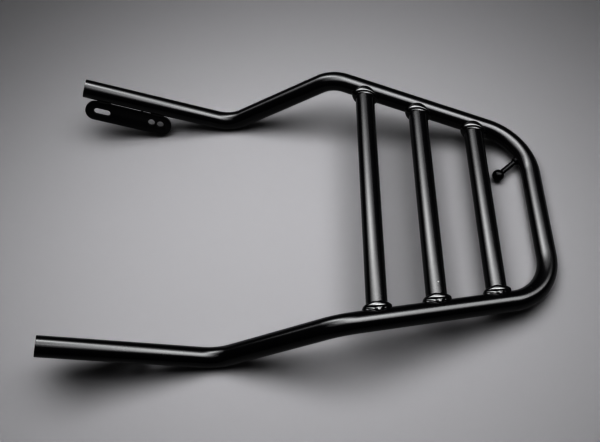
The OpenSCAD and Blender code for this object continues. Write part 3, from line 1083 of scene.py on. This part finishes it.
@dataclass
class PlateFillet:
    """Short fillet weld between an arm and one face of a land.

    Attributes:
        side: Side of the rack.
        land: Which land, zero at the cut end and one at the bend.
        face: Face of the plate.
        seed: Number that sets the bead's own lumps.
        rings: Rings of points along the bead.
        points: Points round the section of the bead.
        reach: Length of the bead, as a share of the land.
        leg_share: Leg of the bead, as a share of the gap between arm and plate.
        crown_share: Height of the crown, as a share of the leg.
        blunt: Bluntness of the bead's ends, from one for ends that run out to nothing.
        sweep: Angle over which the lumps run, in degrees.
        finish: Finish of the bead.
    """

    side: Side
    land: int
    face: Face
    seed: int
    rings: int = 72
    points: int = 24
    reach: float = 0.98
    leg_share: float = 0.9
    crown_share: float = 0.12
    blunt: float = 1.04
    sweep: float = 140.0
    finish: Finish = WELD_COAT

    def section(self, s: float) -> list[Vector]:
        """Points of one ring of the bead, in the plate's plane.

        Args:
            s: Place along the bead from zero to one.

        Returns:
            As many points as the bead has round its section.
        """
        p, r = PLATE, PLAN.tube_r
        face = self.side.value * self.face.value
        size = Lumps(self.seed).at(math.radians(self.sweep * s))
        leg = p.gap * self.leg_share * math.sqrt(self.blunt - (2 * s - 1) ** 4) * size
        rise = math.asin(p.thick / 2 / r)
        at = p.lands()[self.land] + p.land * (s - 0.5) * self.reach
        root = Vector((at, r * math.cos(rise), face * p.thick / 2))
        toe = root + Vector((0.0, leg, 0.0))
        lift = rise + leg / r
        tip = Vector((at, r * math.cos(lift), face * r * math.sin(lift)))
        normal = Vector((0.0, 1.0, face)).normalized()
        half = rise + leg / r / 2
        hidden = [Vector((at, r * math.cos(half), face * r * math.sin(half))), root]
        shown = self.points - len(hidden) - 1
        ring = []
        for k in range(shown + 1):
            a = math.pi / 2 * k / shown
            bulge = normal * leg * self.crown_share * math.sin(2 * a)
            ring.append(root + (toe - root) * math.cos(a) + (tip - root) * math.sin(a) + bulge)
        return ring + hidden

    def build(self) -> bpy.types.Object:
        """Draws a sphere out into the bead and dresses it."""
        deselect()
        bpy.ops.mesh.primitive_uv_sphere_add(segments=self.points, ring_count=self.rings + 1)
        obj = bpy.context.object
        back = "back" if self.face is Face.OUTER else ""
        place = ("end", "bend")[self.land]
        node = f"bracket_{back}weld_{place}_{self.side.name.lower()}"
        obj.name = f"{node}_piece"
        order = sorted(obj.data.vertices, key=lambda v: -round(v.co.z, 5))
        first, last = order[0], order[-1]
        for i in range(self.rings):
            row = order[1 + i * self.points : 1 + (i + 1) * self.points]
            row.sort(key=lambda v: math.atan2(v.co.y, v.co.x))
            ring = self.section(i / (self.rings - 1))
            for vertex, point in zip(row, ring):
                vertex.co = point
            middle = sum(ring, Vector()) / len(ring)
            if i == 0:
                first.co = middle
            if i == self.rings - 1:
                last.co = middle
        point_out(obj)
        return self.finish.dress(obj, PLAN.on_floor() @ PLATE.place(self.side), WELD_ANGLE, node)


@dataclass
class PlateTack:
    """Small tack between an arm and the long top edge of its plate.

    Attributes:
        side: Side of the rack.
        width: Diameter of the tack at the arm, in millimetres.
        sunk: How far it starts inside the tube.
        sides: Points round the tack.
        waist: Width of each ring of points, as a share of the one before.
        finish: Finish of the tack.
    """

    side: Side
    width: float = 3.0
    sunk: float = 0.2
    sides: int = 32
    waist: tuple[float, ...] = (0.86, 0.93, 1.07, 1.1628)
    finish: Finish = WELD_COAT

    def build(self) -> bpy.types.Object:
        """Draws the tack as a short waisted column."""
        node = f"bracket_tack_{self.side.name.lower()}"
        low, down = PLAN.tube_r - self.sunk, Vector((0.0, 1.0, 0.0))
        root = Vector((PLATE.inset + PLATE.length * PLATE.tack_share, low, 0.0))
        obj = ring_at(f"{node}_piece", root, down, self.width / 2, self.sides)
        bpy.ops.mesh.edge_face_add()
        for size in self.waist:
            push(down * (PLATE.top - low) / len(self.waist))
            bpy.ops.transform.resize(value=(size, 1.0, size))
        bpy.ops.object.mode_set(mode="OBJECT")
        point_out(obj)
        return self.finish.dress(obj, PLAN.on_floor() @ PLATE.place(self.side), WELD_ANGLE, node)


# Ball peg


@dataclass
class BallPeg:
    """Short rod with a ball at its end, on the inside of the far rear corner.

    Attributes:
        ball: Diameter of the ball, in millimetres.
        rod: Diameter of the rod.
        reach: Distance from the hoop's centre line to the middle of the ball.
        place: Angle of the peg on the corner, from the rear bar, in degrees.
        turn: Its direction in the plane of the platform, from straight ahead.
        dip: Its dip below that plane.
        neck: Radius of the fillet between rod and ball.
        sunk: Distance from the hoop's centre line to the hidden root of the rod.
        weld: Radius of the weld at the root.
        lumps: Lumps of that weld.
        sides: Points round the rod.
        neck_rings: Rings of points in the fillet.
        ball_rings: Rings of points over the ball.
        weld_sides: Points round the weld.
        finish: Finish of the peg.
        weld_finish: Finish of the weld.
    """

    ball: float = 13.5
    rod: float = 6.0
    reach: float = 40.3
    place: float = 24.9
    turn: float = 40.3
    dip: float = 18.2
    neck: float = 1.2
    sunk: float = 9.6
    weld: float = 5.05
    lumps: Lumps = Lumps(3, ripples=11, depth=0.05, swell=0.035)
    sides: int = 64
    neck_rings: int = 6
    ball_rings: int = 29
    weld_sides: int = 96
    finish: Finish = PEG_COAT
    weld_finish: Finish = PEG_WELD_COAT

    def root(self) -> Vector:
        """Point of the hoop's centre line under the peg."""
        centre = bend_centre(
            PLAN.upper_bend(Side.FAR), PLAN.corner(Side.FAR), PLAN.corner(Side.NEAR), PLAN.corner_r
        )
        a = math.radians(self.place)
        return centre + PLAN.corner_r * Vector((math.cos(a), math.sin(a), 0.0))

    def way(self) -> Vector:
        """Direction of the peg from its root to the ball."""
        turn, dip = math.radians(self.turn), math.radians(self.dip)
        return Vector((-math.cos(turn) * math.cos(dip), -math.sin(turn) * math.cos(dip), -math.sin(dip)))

    def profile(self) -> list[Pair]:
        """Places along the peg from the hidden root, with the radius at each."""
        rod, ball, neck = self.rod / 2, self.ball / 2, self.neck
        meet = math.sqrt((ball + neck) ** 2 - (rod + neck) ** 2)
        line = [(self.sunk, rod), (self.reach - meet, rod)]
        tilt = math.atan2(rod + neck, meet)
        for k in range(1, self.neck_rings + 1):
            a = (math.pi / 2 - tilt) * k / self.neck_rings
            line.append((self.reach - meet + neck * math.sin(a), rod + neck * (1 - math.cos(a))))
        for k in range(1, self.ball_rings):
            a = tilt + (math.pi - tilt) * k / self.ball_rings
            line.append((self.reach - ball * math.cos(a), ball * math.sin(a)))
        return line

    def rod_and_ball(self) -> bpy.types.Object:
        """Turns the rod and ball as one piece, ring by ring."""
        root, way = self.root(), self.way()
        line = self.profile()
        obj = ring_at("ball_peg_piece", root + way * line[0][0], way, line[0][1], self.sides)
        bpy.ops.mesh.edge_face_add()
        for (at, radius), (before, old) in zip(line[1:], line):
            push(way * (at - before))
            scale = radius / old
            bpy.ops.transform.resize(value=(scale, scale, scale), center_override=root + way * at)
        bpy.ops.object.mode_set(mode="OBJECT")
        point_out(obj)
        return self.finish.dress(obj, PLAN.on_floor(), TURNED_ANGLE, "ball_peg")

    def collar(self) -> bpy.types.Object:
        """Squashes a sphere into the weld at the root of the rod."""
        deselect()
        at = self.root() + self.way() * PLAN.tube_r
        bpy.ops.mesh.primitive_uv_sphere_add(
            segments=self.weld_sides, ring_count=self.weld_sides // 2, radius=self.weld, location=at
        )
        obj = bpy.context.object
        obj.name = "peg_weld_piece"
        bpy.ops.object.transform_apply(location=True, rotation=True, scale=True)
        side = self.way().cross(Vector((0.0, 0.0, 1.0))).normalized()
        up = side.cross(self.way())
        for vertex in obj.data.vertices:
            arm = vertex.co - at
            vertex.co = at + arm * self.lumps.at(math.atan2(arm.dot(up), arm.dot(side)))
        point_out(obj)
        return self.weld_finish.dress(obj, PLAN.on_floor(), WELD_ANGLE, "peg_weld")

    def build(self) -> None:
        """Builds the peg and its weld."""
        self.rod_and_ball()
        self.collar()


# Floor, light and camera


@dataclass(frozen=True)
class Lamp:
    """Soft oval light that hangs over the rack and faces straight down.

    Attributes:
        name: Name of the light.
        at: Its place, in metres.
        size: Its two diameters, in metres.
        glow: Brightness of its surface.
        glossy: Whether the coat mirrors it.
        diffuse: Whether it lights matt surfaces.
        spread: Angle of its beam, in degrees.
        turn: Its turn about the upright axis, in degrees.
    """

    name: str
    at: Triple
    size: Pair
    glow: float
    glossy: bool = True
    diffuse: bool = True
    spread: float = 180.0
    turn: float = 0.0

    @property
    def area(self) -> float:
        """Area of the light, in square metres."""
        return self.size[0] * self.size[1] * math.pi / 4


@dataclass(frozen=True)
class Card:
    """Oval card over the rack that only the coat mirrors, bright in the middle and dim at the rim.

    Attributes:
        name: Name of the card.
        at: Its place, in metres.
        half: Its two radii where it is half as bright as in the middle, in metres.
        peak: Brightness of its middle.
        hard: Hardness of its rim, from about one for a soft card.
        turn: Its turn about the upright axis, in degrees.
        shells: Number of nested lights that it is made of.
        gap: Height of each of them over the one before, in metres.
    """

    name: str
    at: Triple
    half: Pair
    peak: float
    hard: float
    turn: float
    shells: int
    gap: float = 0.01

    def lamps(self) -> list[Lamp]:
        """The nested lights, from the smallest to the largest."""
        found = []
        for k in range(self.shells):
            level = 1 - (k + 0.5) / self.shells
            reach = (math.log(1 / level) / math.log(2)) ** (1 / self.hard)
            at = (self.at[0], self.at[1], self.at[2] + self.gap * k)
            size = (2 * self.half[0] * reach, 2 * self.half[1] * reach)
            glow = self.peak / self.shells
            found.append(Lamp(f"{self.name}_{k}", at, size, glow, diffuse=False, turn=self.turn))
        return found


@dataclass
class Studio:
    """Pale floor, one large soft light over the rack, two mirrored cards and the photograph's camera.

    Attributes:
        eye: Place of the camera, in millimetres.
        aim: Turns of the camera about X, Y and Z, in degrees.
        lens: Focal length of its lens, in millimetres.
        sensor: Width of its sensor, in millimetres.
        clip: Nearest and farthest distance that it sees, in metres.
        gamma: Gamma of the picture.
        room: Brightness of the room.
        room_tone: Colour of the room.
        floor_l: Length of the floor's sides, in metres.
        painted_light_radii: Radii of the light painted onto the floor, where it is half as strong as in the
            middle, in metres.
        painted_light_at: Middle of the painted light, in metres.
        painted_light_rim: Hardness of the painted light's rim.
        pale: Colour of the floor in the middle of the painted light.
        dim: Colour of the floor far away from it. This is painted shade where the light is taken to fall off.
        floor_rough: Roughness of the floor.
        floor_specular: Level of the floor's reflection.
        key: The large soft light.
        cards: The cards that only the coat mirrors.
    """

    eye: Triple = (58.98, -504.18, 796.92)
    aim: Triple = (32.83, 4.94, 0.0)
    lens: float = 48.334
    sensor: float = 36.0
    clip: Pair = (0.01, 50.0)
    gamma: float = 0.5
    room: float = 0.06
    room_tone: Triple = (0.98, 0.98, 1.0)
    floor_l: float = 12.0
    # Light painted onto the floor: where it lies, how it fades, and the floor's colours inside and outside
    # it.
    painted_light_radii: Pair = (0.486, 0.477)
    painted_light_at: Triple = (-0.034, -0.091, 0.0)
    painted_light_rim: float = 2.74
    pale: Triple = (0.5, 0.4965, 0.508)
    dim: Triple = (0.136, 0.135, 0.138)
    floor_rough: float = 0.9
    floor_specular: float = 0.1
    key: Lamp = Lamp("key", (0.0, 0.15, 1.35), (2.0, 1.2), 3.75, glossy=False, spread=150.0, turn=-10.0)
    cards: tuple[Card, ...] = (
        Card("strip", (1.3, 0.17, 1.2), (1.75, 0.5), 13.4, 4.0, 14.3, 3),
        Card("oval", (-0.35, 0.74, 1.3), (0.97, 0.29), 29.3, 1.14, -25.8, 5),
    )

    def camera(self) -> None:
        """Places the camera where the photograph was taken from."""
        data = bpy.data.cameras.new("camera")
        data.lens, data.sensor_width = self.lens, self.sensor
        data.clip_start, data.clip_end = self.clip
        camera = bpy.data.objects.new("camera", data)
        bpy.context.scene.collection.objects.link(camera)
        camera.location = Vector(self.eye) * METRES
        camera.rotation_euler = [math.radians(turn) for turn in self.aim]
        bpy.context.scene.camera = camera

    def floor(self) -> None:
        """Lays a wide pale floor under the rack, with painted shade that darkens it away from the rack where
        the light is taken to fall off.
        """
        deselect()
        bpy.ops.mesh.primitive_plane_add(size=self.floor_l, location=(0.0, 0.0, 0.0))
        floor = bpy.context.object
        floor.name = "floor"
        paint = bpy.data.materials.new("pale_floor")
        paint.use_nodes = True
        wiring, shader = Wiring(paint.node_tree), paint.node_tree.nodes["Principled BSDF"].inputs
        stretch, far = wiring.add("ShaderNodeMapping"), wiring.add("ShaderNodeVectorMath")
        stretch.vector_type = "TEXTURE"
        far.operation = "LENGTH"
        wiring.feed(stretch.inputs["Vector"], wiring.add("ShaderNodeTexCoord").outputs["Object"])
        wiring.feed(stretch.inputs["Location"], self.painted_light_at)
        wiring.feed(stretch.inputs["Scale"], (*self.painted_light_radii, 1.0))
        wiring.feed(far.inputs[0], stretch.outputs["Vector"])
        # Painted light: the floor's colour goes from dim to pale towards the middle of the painted light, in
        # place of the light's fall-off.
        glow = wiring.maths("POWER", 0.5, wiring.maths("POWER", far.outputs["Value"], self.painted_light_rim))
        wiring.feed(shader["Base Color"], wiring.mix(glow, (*self.dim, 1.0), (*self.pale, 1.0)))
        wiring.feed(shader["Roughness"], self.floor_rough)
        wiring.feed(shader["Specular IOR Level"], self.floor_specular)
        floor.data.materials.append(paint)

    def lamp(self, lamp: Lamp) -> None:
        """Hangs one soft light that faces straight down."""
        data = bpy.data.lights.new(lamp.name, "AREA")
        data.shape = "ELLIPSE"
        data.size, data.size_y = lamp.size
        data.energy = lamp.glow * math.pi * lamp.area
        data.spread = math.radians(lamp.spread)
        light = bpy.data.objects.new(lamp.name, data)
        light.location = lamp.at
        light.rotation_euler.z = math.radians(lamp.turn)
        light.visible_glossy = lamp.glossy
        light.visible_diffuse = lamp.diffuse
        bpy.context.scene.collection.objects.link(light)

    def lights(self) -> None:
        """Hangs the lights and dims the room."""
        self.lamp(self.key)
        for card in self.cards:
            for lamp in card.lamps():
                self.lamp(lamp)
        world = bpy.data.worlds.new("room")
        world.use_nodes = True
        backdrop = world.node_tree.nodes["Background"].inputs
        backdrop["Color"].default_value = (*self.room_tone, 1.0)
        backdrop["Strength"].default_value = self.room
        bpy.context.scene.world = world
        bpy.context.scene.view_settings.view_transform = "Standard"
        bpy.context.scene.view_settings.gamma = self.gamma

    def build(self) -> None:
        """Sets up the whole studio."""
        self.camera()
        self.floor()
        self.lights()


def main() -> None:
    """Builds the studio and every piece."""
    logging.basicConfig(level=logging.INFO, format="%(name)s: %(message)s")
    Studio().build()
    Hoop().build()
    CrossTubes().build()
    for seed, (side, cross) in enumerate(((s, c) for s in Side for c in Cross), start=1):
        Saddle(side, cross, seed).build()
    seed = 1
    for face in Face:
        for land in (0, 1):
            for side in Side:
                PlateFillet(side, land, face, seed).build()
                seed += 1
    for side in Side:
        BracketPlate(side).build()
        PlateTack(side).build()
    BallPeg().build()


if __name__ == "__main__":
    main()
